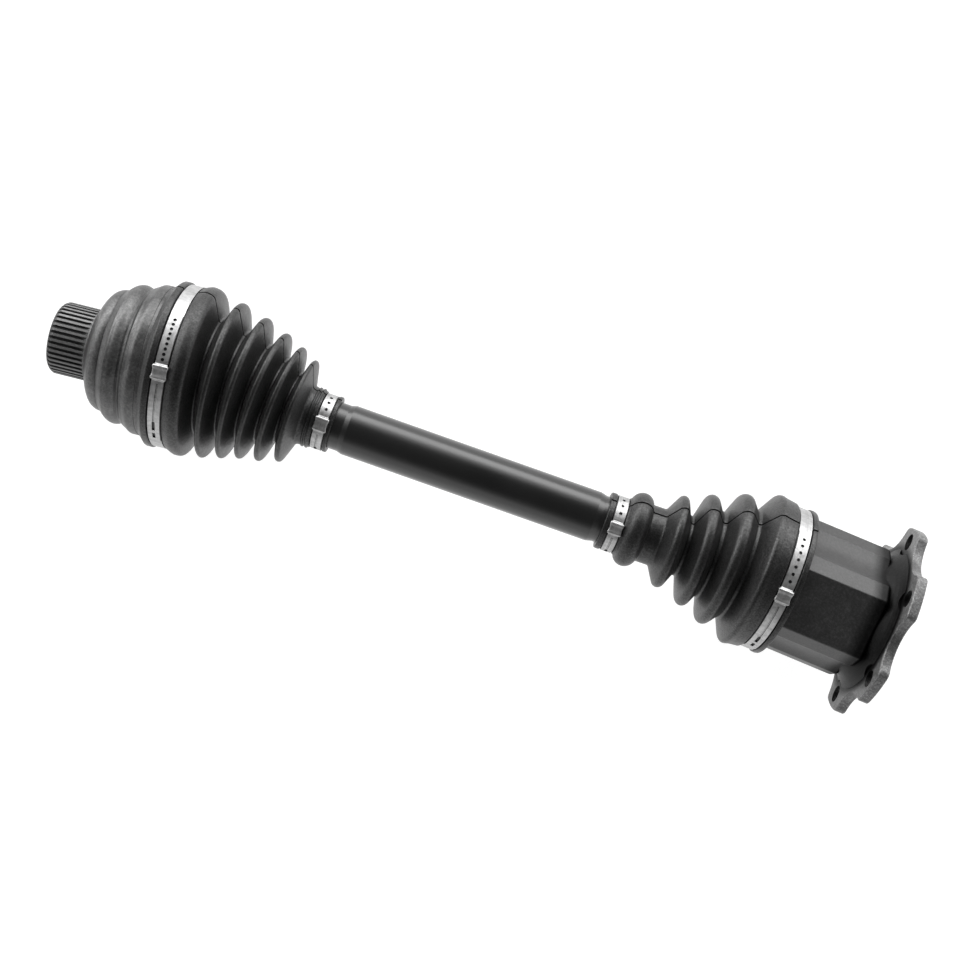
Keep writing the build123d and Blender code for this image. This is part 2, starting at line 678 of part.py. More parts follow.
def make_clamp(name, band, centre, axis_angle, band_r, overlap_end, buckle, groove, dimple_count):
    width, slot_end, tail_slot_end = band
    middle = Plane(origin=centre, x_dir=up, z_dir=direction(axis_angle) * -1)
    layer_in = band_r + band_t - layer_sink
    layer_out = band_r + band_t + layer_h
    buckle_start, buckle_end = buckle
    groove_start, groove_end = groove
    buckle_mid = (buckle_start + buckle_end) / 2
    channel_half = (buckle_end - buckle_start) * 0.24
    # start, end, half width, depth
    cuts = (
        (groove_start, groove_end, 0.55, 0.35),
        (groove_start - 1, groove_start + slot_end, 0.95, 0.8),
        (groove_start - 10, groove_start + tail_slot_end, 0.95, 0.8),
    )
    with BuildPart() as clamp:
        # closed band
        with BuildSketch(middle):
            Circle(band_r + band_t)
            Circle(band_r, mode=Mode.SUBTRACT)
        extrude(amount=width / 2, both=True)
        # outer layer, from beyond the groove's start to the overlap end
        with BuildSketch(middle):
            with BuildLine():
                draw_sector(layer_in, layer_out, groove_start - 14, overlap_end)
            make_face()
        extrude(amount=width / 2 - 0.25, both=True)
        # raised buckle, a little wider than the band
        with BuildSketch(middle):
            with BuildLine():
                draw_sector(layer_in, layer_out + buckle_h, buckle_start, buckle_end)
            make_face()
        extrude(amount=width / 2 + 0.35, both=True)
        # channel pressed into the top of the buckle
        with BuildSketch(middle):
            with BuildLine():
                draw_sector(
                    layer_out + 0.45, layer_out + 1.6, buckle_mid - channel_half, buckle_mid + channel_half
                )
            make_face()
        extrude(amount=width * 0.34, both=True, mode=Mode.SUBTRACT)
        # long groove and two slots in the outer layer
        for start, end, half_width, depth in cuts:
            with BuildSketch(middle):
                with BuildLine():
                    draw_sector(layer_out - depth, layer_out + 0.6, start, end)
                make_face()
            extrude(amount=half_width, both=True, mode=Mode.SUBTRACT)
        # row of plain round dimples
        for k in range(dimple_count):
            around = buckle_end + (overlap_end - buckle_end) * (k + 1.2) / (dimple_count + 1.4)
            with BuildSketch(spoke_plane(centre, axis_angle, around, layer_out - 0.8)):
                Circle(dimple_r)
            extrude(amount=2.0, mode=Mode.SUBTRACT)
    save(name, clamp)


for clamp_row in clamps:
    make_clamp(*clamp_row)
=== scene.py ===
# A car's drive axle with a ball joint at its outer end and a tripod joint at its inner end.
# Metres, +Z up. The inner housing lies along X, with its flange face at x = 0. The shaft runs
# from the ball to the tripod, and each joint is bent a little in the XY plane.
# Added here: materials, two rubber bellows, the saddles of four band clamps, and a stage.
import json
import math

import bpy
import numpy as np
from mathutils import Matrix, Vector


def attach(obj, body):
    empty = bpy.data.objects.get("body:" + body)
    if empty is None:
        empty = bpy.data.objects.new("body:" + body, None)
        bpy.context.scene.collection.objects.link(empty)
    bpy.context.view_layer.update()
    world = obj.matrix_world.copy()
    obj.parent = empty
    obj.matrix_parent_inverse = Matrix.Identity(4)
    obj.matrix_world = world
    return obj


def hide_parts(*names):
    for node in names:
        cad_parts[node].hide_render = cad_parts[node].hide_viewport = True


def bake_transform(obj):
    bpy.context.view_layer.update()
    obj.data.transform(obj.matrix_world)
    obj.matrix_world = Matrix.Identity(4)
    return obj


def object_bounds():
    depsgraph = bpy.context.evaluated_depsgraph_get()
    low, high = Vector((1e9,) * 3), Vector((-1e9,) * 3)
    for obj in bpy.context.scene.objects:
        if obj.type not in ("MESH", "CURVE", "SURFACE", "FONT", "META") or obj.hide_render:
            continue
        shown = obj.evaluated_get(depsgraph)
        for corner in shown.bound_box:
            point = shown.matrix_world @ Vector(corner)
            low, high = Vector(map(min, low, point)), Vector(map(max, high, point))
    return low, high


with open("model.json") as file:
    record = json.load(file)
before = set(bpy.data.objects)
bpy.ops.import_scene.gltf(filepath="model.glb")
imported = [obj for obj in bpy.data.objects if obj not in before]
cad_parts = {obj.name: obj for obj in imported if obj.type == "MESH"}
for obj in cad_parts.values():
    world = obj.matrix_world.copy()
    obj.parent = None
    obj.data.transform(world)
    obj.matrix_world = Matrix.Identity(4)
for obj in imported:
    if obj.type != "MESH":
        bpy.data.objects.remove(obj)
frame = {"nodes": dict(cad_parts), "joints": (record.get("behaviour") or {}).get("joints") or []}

cad_low, cad_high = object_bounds()
MM = 0.001

# ---------------------------------------------------------------- axes of the axle


def unit(vector):
    return vector / np.linalg.norm(vector)


def heading(vector):
    """Direction in the XY plane, in degrees from +X."""
    return math.degrees(math.atan2(vector[1], vector[0]))


joints = {joint["name"]: joint for joint in frame["joints"]}
UP = np.array((0.0, 0.0, 1.0))
TRIPOD = np.array(joints["inner_bend"]["pos_m"], float)
BALL = np.array(joints["outer_steer"]["pos_m"], float)
SHAFT = unit(TRIPOD - BALL)
SHAFT_SIDE = np.cross(UP, SHAFT)
BELL = unit(np.cross(np.array(joints["outer_swing"]["axis"], float), UP))
HOUSING = np.array((1.0, 0.0, 0.0))
BEND_OUT = heading(BELL) - heading(SHAFT)
BEND_IN = heading(HOUSING) - heading(SHAFT)

# clamp: pivot its stations are measured from, axis, bore radius in mm
CLAMPS = {
    "outer_clamp_large": (BALL, BELL, 51.86),
    "outer_clamp_small": (BALL, SHAFT, 17.2),
    "inner_clamp_large": (TRIPOD, HOUSING, 46.96),
    "inner_clamp_small": (TRIPOD, SHAFT, 17.2),
}

# ---------------------------------------------------------------- shader node helpers


class Nodes:
    """Adds and links shader nodes in one tree. Values may be numbers, tuples or sockets."""

    def __init__(self, tree):
        self.tree = tree
        self.x = -300

    def feed(self, socket, value):
        if isinstance(value, bpy.types.NodeSocket):
            self.tree.links.new(value, socket)
        elif socket.type == "VALUE":
            socket.default_value = value
        elif isinstance(value, (int, float)):
            socket.default_value = (value, value, value, 1)
        elif socket.type == "RGBA":
            socket.default_value = (*value, 1)
        else:
            socket.default_value = tuple(value)

    def node(self, kind, inputs=None, **settings):
        made = self.tree.nodes.new(kind)
        made.location = (self.x, 0)
        self.x -= 40
        for key, value in settings.items():
            setattr(made, key, value)
        for key, value in (inputs or {}).items():
            self.feed(made.inputs[key], value)
        return made

    def coords(self):
        return self.node("ShaderNodeTexCoord").outputs["Object"]

    def stretch(self, vector, scale):
        inputs = {"Vector": vector, "Scale": scale}
        return self.node("ShaderNodeMapping", inputs).outputs["Vector"]

    def combine(self, **parts):
        return self.node("ShaderNodeCombineXYZ", parts).outputs["Vector"]

    def noise(self, vector, scale, detail=4.0, rough=0.55, distortion=0.0):
        inputs = {
            "Scale": scale,
            "Detail": detail,
            "Roughness": rough,
            "Distortion": distortion,
            "Vector": vector,
        }
        return self.node("ShaderNodeTexNoise", inputs).outputs["Fac"]

    def ramp(self, factor, stops):
        """stops: (position, grey level or colour)."""
        made = self.node("ShaderNodeValToRGB", {"Fac": factor})
        elements = made.color_ramp.elements
        while len(elements) < len(stops):
            elements.new(0.5)
        for element, (position, shade) in zip(elements, stops):
            element.position = position
            grey = isinstance(shade, (int, float))
            element.color = (shade, shade, shade, 1) if grey else (*shade, 1)
        return made.outputs["Color"]

    def math(self, operation, first, second=None):
        inputs = {0: first} if second is None else {0: first, 1: second}
        return self.node("ShaderNodeMath", inputs, operation=operation).outputs[0]

    def times(self, first, second):
        return self.math("MULTIPLY", first, second)

    def plus(self, first, second):
        return self.math("ADD", first, second)

    def invert(self, value):
        return self.math("SUBTRACT", 1.0, value)

    def lower(self, start, mask, by):
        """start, less 'by' where the mask is 1."""
        return self.math("SUBTRACT", start, self.times(mask, by))

    def weighted(self, parts, base=None):
        """Sum of (value, weight) pairs, plus a base level."""
        total = None
        for value, weight in parts:
            part = self.times(value, weight)
            total = part if total is None else self.plus(total, part)
        return total if base is None else self.plus(total, base)

    def mix(self, factor, first, second, blend_type="MIX"):
        # sockets 6 and 7 are the mix node's two colours
        inputs = {"Factor": factor, 6: first, 7: second}
        made = self.node("ShaderNodeMix", inputs, data_type="RGBA", blend_type=blend_type)
        return made.outputs[2]

    def tint(self, first, second, amount=1.0):
        return self.mix(amount, first, second, blend_type="MULTIPLY")

    def vector_math(self, operation, first, second=None):
        inputs = {0: first} if second is None else {0: first, 1: second}
        made = self.node("ShaderNodeVectorMath", inputs, operation=operation)
        return made.outputs["Value" if operation in ("DOT_PRODUCT", "LENGTH") else "Vector"]

    def axial(self, vector, origin, axis):
        """Distance along an axis and away from it, in metres."""
        offset = self.vector_math("SUBTRACT", vector, origin)
        along = self.vector_math("DOT_PRODUCT", offset, axis)
        scaled = self.node("ShaderNodeVectorMath", {0: axis, "Scale": along}, operation="SCALE")
        outward = self.vector_math("SUBTRACT", offset, scaled.outputs["Vector"])
        return along, self.vector_math("LENGTH", outward)

    def span(self, value, low, high):
        """0 below low, 1 above high."""
        inputs = {"From Min": low, "From Max": high, "Value": value}
        return self.node("ShaderNodeMapRange", inputs).outputs["Result"]

    def openness(self, distance):
        """Ambient occlusion: 1 in the open, lower in hollows."""
        inputs = {"Distance": distance}
        made = self.node("ShaderNodeAmbientOcclusion", inputs, samples=8, only_local=True)
        return made.outputs["AO"]


class Look(Nodes):
    """A material and its Principled shader."""

    def __init__(self, name):
        self.material = bpy.data.materials.new(name)
        self.material.use_nodes = True
        super().__init__(self.material.node_tree)
        self.shader = self.tree.nodes["Principled BSDF"]

    def set(self, values):
        for name, value in values.items():
            self.feed(self.shader.inputs[name], value)

    def bump(self, heights, distance, strength):
        """heights: (value, weight) pairs; distance in metres."""
        inputs = {
            "Strength": strength,
            "Distance": distance,
            "Height": self.weighted(heights),
        }
        self.set({"Normal": self.node("ShaderNodeBump", inputs).outputs["Normal"]})


# ---------------------------------------------------------------- materials


def rubber(name):
    """Moulded rubber: satin black, faint cloudy bloom, fine pebble."""
    look = Look(name)
    place = look.coords()
    cloud = look.noise(place, scale=34.0, detail=5.0, rough=0.6, distortion=0.4)
    fine = look.noise(place, scale=2600.0, detail=2.0, rough=0.6)
    mid = look.noise(place, scale=420.0, rough=0.6)
    bloom = look.ramp(cloud, [(0.35, 0.0040), (0.62, 0.0085), (0.85, 0.015)])
    speck = look.ramp(mid, [(0.60, 0.0), (0.80, 0.010)])
    look.set({
        "Base Color": look.mix(1.0, bloom, speck, blend_type="ADD"),
        "Roughness": look.weighted([(mid, 0.16), (cloud, 0.22)], base=0.19),
    })
    # no gloss and no sheen inside the mould lines
    line = look.node("ShaderNodeAttribute", attribute_name="mould_line").outputs["Fac"]
    dust = look.noise(place, scale=900.0, rough=0.75)
    dusty = look.ramp(dust, [(0.38, 0.30), (0.50, 0.50), (0.64, 0.78)])
    look.set({
        "Specular IOR Level": look.times(dusty, look.invert(line)),
        "Sheen Weight": look.lower(start=0.03, mask=line, by=0.03),
        "Sheen Roughness": 0.5,
    })
    look.bump([(fine, 0.8), (mid, 2.2), (cloud, 3.0)], distance=0.00012, strength=0.65)
    return look.material


def gloss_paint():
    """Black gloss paint on the shaft, with orange peel and dust nibs."""
    look = Look("painted_shaft")
    place = look.coords()
    peel = look.noise(place, scale=520.0, detail=3.0, rough=0.5)
    cloud = look.noise(place, scale=30.0, rough=0.5)
    nib = look.noise(place, scale=1900.0, detail=2.0, rough=0.7)
    nibs = look.ramp(nib, [(0.70, 0.0), (0.78, 1.0)])
    black = look.ramp(cloud, [(0.3, 0.0045), (0.8, 0.008)])
    nib_grey = 0.035
    look.set({
        "Base Color": look.mix(nibs, black, nib_grey),
        "Roughness": look.weighted([(cloud, 0.12)], base=0.24),
        "Specular IOR Level": 0.55,
        "Coat Weight": 0.35,
        "Coat Roughness": 0.16,
    })
    look.bump([(peel, 1.0), (nibs, 0.35)], distance=0.00008, strength=0.5)
    return look.material


def bell_steel():
    """Turned bell in grey phosphate, with ground tooth tips on its stub, painted shade in its
    grooves and tooth roots, and painted highlights along its ring edges.
    """
    look = Look("phosphated_bell")
    place = look.coords()
    along, away = look.axial(place, BALL, BELL)
    grain = look.noise(place, scale=620.0, detail=5.0, rough=0.85)
    blotch = look.noise(place, scale=70.0, detail=6.0, rough=0.65, distortion=0.6)
    mid = look.noise(place, scale=330.0, rough=0.6)
    # turned rings: noise that only varies along the axis
    rings = look.noise(look.combine(X=along), scale=2600.0, detail=2.0, rough=0.6)
    base = look.ramp(blotch, [(0.28, 0.060), (0.52, 0.096), (0.78, 0.15)])
    salt = look.ramp(grain, [(0.36, 0.62), (0.5, 1.0), (0.62, 1.55)])
    body = look.tint(base, salt, amount=0.85)
    # painted shade in the turned grooves and a painted highlight along each ring's edge, placed
    # within this stretch of the axis
    stretch = {"low": -0.036, "high": 0.012}
    ring_highlight_and_shade = look.ramp(look.span(along, **stretch), [
        (0.0, 0.8), (0.335, 1.12), (0.352, 0.7), (0.37, 0.95), (0.62, 1.1),
        (0.635, 0.62), (0.655, 0.7), (0.68, 1.05), (1.0, 1.0),
    ])
    ring_shaded = look.tint(body, ring_highlight_and_shade)
    # stub: roots darkened as painted shade, bright ground tips
    stub_end, stub_radius = -0.0325, 0.0245
    on_stub = look.times(
        look.math("LESS_THAN", along, stub_end), look.math("LESS_THAN", away, stub_radius)
    )
    height = look.span(away, low=0.02165, high=0.0231)
    ground_tip_and_root_shade = look.ramp(
        height, [(0.0, 0.022), (0.45, 0.040), (0.86, 0.075), (0.97, 0.13), (1.0, 0.16)]
    )
    toothed = look.tint(ground_tip_and_root_shade, salt, amount=0.5)
    look.set({
        "Base Color": look.mix(on_stub, ring_shaded, toothed),
        "Metallic": look.lower(start=0.80, mask=on_stub, by=0.42),
        "Specular IOR Level": 0.7,
    })
    rough = look.weighted([(blotch, 0.25), (grain, 0.18)], base=0.20)
    stub_roughness = 0.06
    look.set({"Roughness": look.plus(rough, look.times(on_stub, stub_roughness))})
    crease = look.ramp(look.span(along, **stretch), [
        (0.0, 0.0), (0.425, 0.0), (0.450, 1.0), (0.49, 0.1), (0.54, 0.0),
        (0.685, 0.0), (0.712, 1.0), (0.75, 0.1), (0.80, 0.0), (1.0, 0.0),
    ])
    heights = [(grain, 0.35), (mid, 0.45), (rings, 0.5), (crease, 5.5)]
    look.bump(heights, distance=0.00010, strength=0.9)
    return look.material


def housing_steel():
    """Tulip in dark satin phosphate, with a machined, greyer flange, and painted shade in its
    hollows and in the corner by the flange.
    """
    look = Look("forged_housing")
    place = look.coords()
    along, away = look.axial(place, np.zeros(3), HOUSING)
    grain = look.noise(place, scale=680.0, detail=5.0, rough=0.85)
    blotch = look.noise(place, scale=55.0, detail=6.0, rough=0.65, distortion=0.5)
    mid = look.noise(place, scale=300.0, rough=0.6)
    drawn = look.stretch(place, scale=(25, 900, 900))
    draw = look.noise(drawn, scale=1.0, detail=3.0, rough=0.6)
    dark = look.ramp(blotch, [(0.25, 0.013), (0.55, 0.024), (0.82, 0.042)])
    salt = look.ramp(grain, [(0.37, 0.45), (0.5, 1.0), (0.62, 2.3)])
    body = look.tint(dark, salt, amount=0.8)
    grey = look.ramp(blotch, [(0.25, 0.090), (0.55, 0.125), (0.82, 0.175)])
    flange = look.tint(grey, salt, amount=0.8)
    # turned end face, and the lighter ears of the flange
    face = look.span(along, low=-0.0007, high=-0.0003)
    ears = look.times(
        look.span(along, low=-0.0085, high=-0.0062), look.span(away, low=0.0485, high=0.0530)
    )
    rim = look.math("MAXIMUM", ears, face)
    turning = look.noise(look.combine(X=away), scale=4200.0, detail=2.0, rough=0.6)
    turned = look.times(turning, face)
    openness = look.openness(distance=0.022)
    shade = look.ramp(openness, [(0.35, 0.10), (0.62, 0.35), (0.85, 0.85), (0.97, 1.0)])
    shaded = look.tint(look.mix(rim, body, flange), shade)
    # painted shade in the corner between tulip and flange, also dimming the gloss there
    painted_corner_shade = look.times(
        look.span(along, low=-0.0250, high=-0.0180),
        look.invert(look.span(away, low=0.0490, high=0.0530)),
    )
    painted_corner_shade = look.times(painted_corner_shade, look.invert(look.span(along, low=-0.0045, high=-0.0035)))
    corner_unshaded_share = look.lower(start=1.0, mask=painted_corner_shade, by=0.74)
    look.set({"Base Color": look.tint(shaded, corner_unshaded_share)})
    # hollows gleam less
    gleam = look.weighted([(look.span(openness, low=0.45, high=0.90), 0.9)], base=0.1)
    full_gleam = 0.62
    face_metallic = 0.45
    look.set({
        "Specular IOR Level": look.times(look.times(gleam, full_gleam), corner_unshaded_share),
        "Metallic": look.plus(
            look.weighted([(rim, 0.2)], base=0.05), look.times(face, face_metallic)
        ),
        "Roughness": look.weighted([(blotch, 0.25), (grain, 0.15)], base=0.24),
    })
    heights = [(grain, 0.8), (mid, 0.6), (draw, 0.35), (turned, 1.1)]
    look.bump(heights, distance=0.00010, strength=0.7)
    return look.material


PRESSED_DEPTH = 0.60  # the band's pressings lie closer than this to its bore, mm
NO_PRESSINGS = -10.0  # a bore below every radius, so nothing counts as pressed


def band_steel(name, origin, axis, bore=NO_PRESSINGS):
    """Bright rolled band: fine lines round it, scuffs, and painted shade in its pressings and
    crevices.
    """
    look = Look(name)
    place = look.coords()
    along, away = look.axial(place, origin, axis)
    radial_squeeze = 0.3
    line_place = look.combine(X=along, Y=look.times(away, radial_squeeze))
    lines = look.noise(line_place, scale=5200.0, detail=2.0, rough=0.7)
    scuff = look.noise(place, scale=240.0, detail=5.0, rough=0.7, distortion=0.8)
    cloud = look.noise(place, scale=55.0, rough=0.6)
    streaked = look.stretch(place, scale=(160, 160, 700))
    streak = look.noise(streaked, scale=1.0, detail=3.0, rough=0.6)
    wear = look.weighted([(lines, 0.35), (scuff, 0.35), (streak, 0.30)])
    colour = look.ramp(wear, [(0.34, 0.20), (0.47, 0.40), (0.60, 0.54)])
    # painted shade: darker in the band's crevices, from ambient occlusion
    openness = look.openness(distance=0.0016)
    painted_crevice_shade = look.ramp(openness, [(0.45, 0.05), (0.72, 0.5), (0.92, 1.0)])
    # the pressings' floors are painted near black as painted shade
    pressed = look.math("LESS_THAN", away, (bore + PRESSED_DEPTH) * MM)
    pressing_shade_grey = 0.02
    look.set({
        "Base Color": look.mix(pressed, look.tint(colour, painted_crevice_shade), pressing_shade_grey),
        "Metallic": look.lower(start=0.90, mask=pressed, by=0.6),
        "Roughness": look.weighted([(scuff, 0.22), (cloud, 0.20)], base=0.20),
    })
    look.bump([(lines, 0.5), (scuff, 1.2)], distance=0.00008, strength=0.7)
    return look.material


def ground_steel(name, dark, light, roughness):
    """Metal with fine grinding marks; dark and light are its cloudy grey range."""
    look = Look(name)
    place = look.coords()
    grind_place = look.stretch(place, scale=(900, 900, 120))
    grind = look.noise(grind_place, scale=1.0, detail=3.0, rough=0.6)
    cloud = look.noise(place, scale=60.0, rough=0.6)
    look.set({
        "Base Color": look.ramp(cloud, [(0.3, dark), (0.75, light)]),
        "Metallic": 0.95,
        "Roughness": look.weighted([(grind, 0.14)], base=roughness),
    })
    look.bump([(grind, 1.0)], distance=0.00004, strength=0.4)
    return look.material


def nylon():
    """Cream plastic, slightly translucent."""
    look = Look("washer_nylon")
    place = look.coords()
    grain = look.noise(place, scale=900.0, detail=3.0, rough=0.6)
    cloud = look.noise(place, scale=80.0, detail=3.0, rough=0.6)
    cream = [(0.3, (0.60, 0.56, 0.44)), (0.75, (0.72, 0.68, 0.57))]
    look.set({
        "Base Color": look.ramp(cloud, cream),
        "Roughness": look.weighted([(grain, 0.2)], base=0.42),
        "Subsurface Weight": 0.1,
        "Subsurface Scale": 0.002,
    })
    look.bump([(grain, 1.0)], distance=0.00006, strength=0.4)
    return look.material


bright_steel = ground_steel("bearing_steel", dark=0.42, light=0.62, roughness=0.16)
dark_steel = ground_steel("spring_steel", dark=0.055, light=0.10, roughness=0.30)
zinc_cover = ground_steel("zinc_cover", dark=0.36, light=0.50, roughness=0.30)
cad_material = {
    "drive_shaft": gloss_paint(),
    "outer_bell": bell_steel(),
    "inner_housing": housing_steel(),
    "inner_end_cap": zinc_cover,
    "thrust_washer": nylon(),
}
for letter, clamp in zip("abcd", CLAMPS):
    cad_material[clamp] = band_steel(f"zinc_band_{letter}", *CLAMPS[clamp])
for node in ("roller_retainers", "spider_circlip", "race_circlip", "dished_spring"):
    cad_material[node] = dark_steel

for node, obj in frame["nodes"].items():
    chosen = cad_material.get(node, bright_steel)
    if not obj.material_slots:
        obj.data.materials.append(chosen)
    for slot in obj.material_slots:
        slot.material = chosen

# ---------------------------------------------------------------- centre lines of the bellows


def bent_row(station, bend):
    """Table row on a joint's own axis, bent away from the shaft by 'bend' degrees."""
    turn = math.radians(bend)
    return (station, station * math.cos(turn), station * math.sin(turn), bend)


# station from the joint's pivot, distance along the shaft, sideways shift, tilt
# (mm, mm, mm, degrees)
OUTER_ROWS = [
    *(bent_row(station, BEND_OUT) for station in (0.0, 10.0, 20.0, 29.0)),
    (34.6, 34.5, 2.75, 5.45), (43.2, 43.2, 2.85, 4.5), (51.1, 51.1, 2.98, 3.2),
    (58.4, 58.4, 2.95, 1.6), (65.4, 65.4, 2.92, 0.0), (72.1, 72.1, 2.5, -1.5),
    (78.4, 78.4, 2.16, -3.0), (84.5, 84.5, 1.6, -3.15), (90.5, 90.5, 1.0, -3.3),
    (95.9, 95.9, 0.6, -2.7), (101.6, 101.6, 0.44, -2.1), (106.2, 106.2, 0.15, -0.8),
    (108.6, 108.6, 0.05, -0.2), (112.0, 112.0, 0, 0), (135.0, 135.0, 0, 0),
]
INNER_ROWS = [
    (-145.0, -145.0, 0, 0), (-126.4, -126.4, 0.0, 0), (-124.0, -124.0, 0.25, 0),
    (-118.1, -118.1, 0.6, 0), (-109.4, -109.4, 0.85, 0), (-101.8, -101.8, 0.95, 0.2),
    (-93.0, -93.0, 1.27, 1.0), (-85.1, -85.1, 1.4, 1.6), (-76.8, -76.8, 1.6, 2.0),
    (-67.3, -67.3, 1.9, 0.3), (-59.05, -59.05, 2.2, -1.5), (-48.9, -48.9, 2.1, -2.1),
    (-40.3, -40.3, 1.95, -2.7),
    *(bent_row(station, BEND_IN) for station in (-33.0, -20.0, -8.0)),
]
ODD_ENDS = {"mode": "reflect", "reflect_type": "odd"}  # carries the slope past both ends


def running_mean(values, reach, ends):
    """Mean over 'reach' neighbours on each side; ends: how np.pad extends the values."""
    window = 2 * reach + 1
    return np.convolve(np.pad(values, reach, **ends), np.ones(window) / window, mode="valid")


def smooth_rows(rows, step=0.5):
    """Rounds the table's corners, so highlights run clean."""
    table = np.array(rows, float)
    stations = np.arange(table[0, 0], table[-1, 0] + step / 2, step)
    columns = [
        running_mean(np.interp(stations, table[:, 0], table[:, k]), 6, ODD_ENDS)
        for k in (1, 2, 3)
    ]
    return np.stack([stations] + columns, 1)


def ring_frame(origin, table, station):
    """Centre, axis and side of the bellows section at a station."""
    along, sideways, tilt = [
        float(np.interp(station, table[:, 0], table[:, k])) for k in (1, 2, 3)
    ]
    centre = origin + (SHAFT * along + SHAFT_SIDE * sideways) * MM
    turn = math.radians(tilt)
    axis = SHAFT * math.cos(turn) + SHAFT_SIDE * math.sin(turn)
    return centre, axis, np.cross(UP, axis)


# ---------------------------------------------------------------- outlines


def corner_at(before, here, after):
    """Unit directions to both neighbours, and half the angle between them."""
    back, ahead = unit(before - here), unit(after - here)
    return back, ahead, math.acos(max(-1, min(1, float(back @ ahead)))) / 2


def fillet(corners, arc_step=9.0):
    """Corners (station, radius, rounding) to an outline with arcs at about arc_step degrees."""
    out = []
    points = [np.array(corner[:2], float) for corner in corners]
    for i, (here, corner) in enumerate(zip(points, corners)):
        rounding = corner[2]
        if i in (0, len(points) - 1) or rounding <= 0:
            out.append(here)
            continue
        before, after = points[i - 1], points[i + 1]
        back, ahead, half = corner_at(before, here, after)
        if half > math.radians(88.5):  # nearly straight
            out.append(here)
            continue
        reach = rounding / math.tan(half)
        limit = 0.49 * min(np.linalg.norm(before - here), np.linalg.norm(after - here))
        if reach > limit:
            reach, rounding = limit, limit * math.tan(half)
        centre = here + unit(back + ahead) * (rounding / math.sin(half))
        start = here + back * reach - centre
        end = here + ahead * reach - centre
        start_angle = math.atan2(start[1], start[0])
        end_angle = math.atan2(end[1], end[0])
        sweep = (end_angle - start_angle + math.pi) % (2 * math.pi) - math.pi
        count = max(3, int(abs(math.degrees(sweep)) / arc_step))
        for k in range(count + 1):
            angle = start_angle + sweep * k / count
            out.append(centre + rounding * np.array((math.cos(angle), math.sin(angle))))
    return np.array(out)


def densify(path, step):
    out = [path[0]]
    for start, end in zip(path[:-1], path[1:]):
        count = max(1, int(math.ceil(np.linalg.norm(end - start) / step)))
        for k in range(1, count + 1):
            out.append(start + (end - start) * k / count)
    return np.array(out)


def solve_tips(corners, rounds=12):
    """Moves each marked corner in or out until its rounded extreme has the listed radius."""
    tips = [list(corner) for corner in corners]
    for _ in range(rounds):
        for i in range(1, len(tips) - 1):
            if len(corners[i]) < 4:
                continue
            before, here, after = (np.array(tips[j][:2], float) for j in (i - 1, i, i + 1))
            back, ahead, half = corner_at(before, here, after)
            rounding = tips[i][2]
            centre = here + unit(back + ahead) * (rounding / math.sin(half))
            extreme = centre[1] + (rounding if corners[i][3] > 0 else -rounding)
            tips[i][1] += corners[i][1] - extreme
    return [tuple(tip[:3]) for tip in tips]


def offset_path(path, wall):
    """Path moved inward by the wall, square to itself."""
    run = np.gradient(path, axis=0)
    run = run / np.maximum(np.linalg.norm(run, axis=1)[:, None], 1e-9)
    return path - np.stack([-run[:, 1], run[:, 0]], 1) * wall


# The housing's three-lobed outline, in mm and degrees: a flat across each lobe, a straight
# side from the flat's end to the web's edge, and a hollow arc across the web.
LOBE_TURN = 10.1
LOBE_FLAT = 40.3
LOBE_HALF_WIDTH = 19.4
WEB_EDGE_RADIUS = 41.15
WEB_EDGE_ANGLE = 41.95
HOLLOW_CENTRE = 74.63
HOLLOW_RADIUS = 37.73
LOBE_GAP = 0.12


def lobed(theta):
    """Radius of the three-lobed outline at an angle from +Z, in mm."""
    folded = (math.degrees(theta) + LOBE_TURN) % 120
    angle = math.radians(120 - folded if folded > 60 else folded)
    edge_angle = math.radians(WEB_EDGE_ANGLE)
    if angle <= math.atan2(LOBE_HALF_WIDTH, LOBE_FLAT):
        return LOBE_FLAT / math.cos(angle)
    if angle < edge_angle:
        run_x = WEB_EDGE_RADIUS * math.cos(edge_angle) - LOBE_FLAT
        run_y = WEB_EDGE_RADIUS * math.sin(edge_angle) - LOBE_HALF_WIDTH
        cross = LOBE_HALF_WIDTH * run_x - LOBE_FLAT * run_y
        return cross / (math.sin(angle) * run_x - math.cos(angle) * run_y)
    web = angle - math.radians(60)
    chord = math.sqrt(HOLLOW_RADIUS**2 - (HOLLOW_CENTRE * math.sin(web)) ** 2)
    return HOLLOW_CENTRE * math.cos(web) - chord


# ---------------------------------------------------------------- meshes


def solid(name, verts, faces, origin, sharp_angle):
    """Smooth closed mesh whose faces look outward."""
    mesh = bpy.data.meshes.new(name)
    mesh.from_pydata([tuple(vert) for vert in verts], [], faces)
    mesh.update()
    middle = Vector(origin)
    volume = sum(face.area * (face.center - middle).dot(face.normal) for face in mesh.polygons)
    if volume < 0:
        mesh.flip_normals()
    mesh.polygons.foreach_set("use_smooth", [True] * len(mesh.polygons))
    mesh.set_sharp_from_angle(angle=math.radians(sharp_angle))
    return mesh


def link_object(name, mesh):
    obj = bpy.data.objects.new(name, mesh)
    bpy.context.scene.collection.objects.link(obj)
    return obj


def strip_faces(i, j, count):
    """Quads between ring i and ring j, each of 'count' points."""
    for k in range(count):
        after = (k + 1) % count
        yield (i * count + k, j * count + k, j * count + after, i * count + after)


BASE_ANGLES = 176
LINE_HALF = 0.42  # half width of a mould line, mm
LINE_DEPTH = 0.85
# points across a mould line: offset in half widths, share of the depth
LINE_SECTION = ((-2.2, 0.0), (-1.0, 0.25), (-0.45, 1.0), (0.45, 1.0), (1.0, 0.25), (2.2, 0.0))


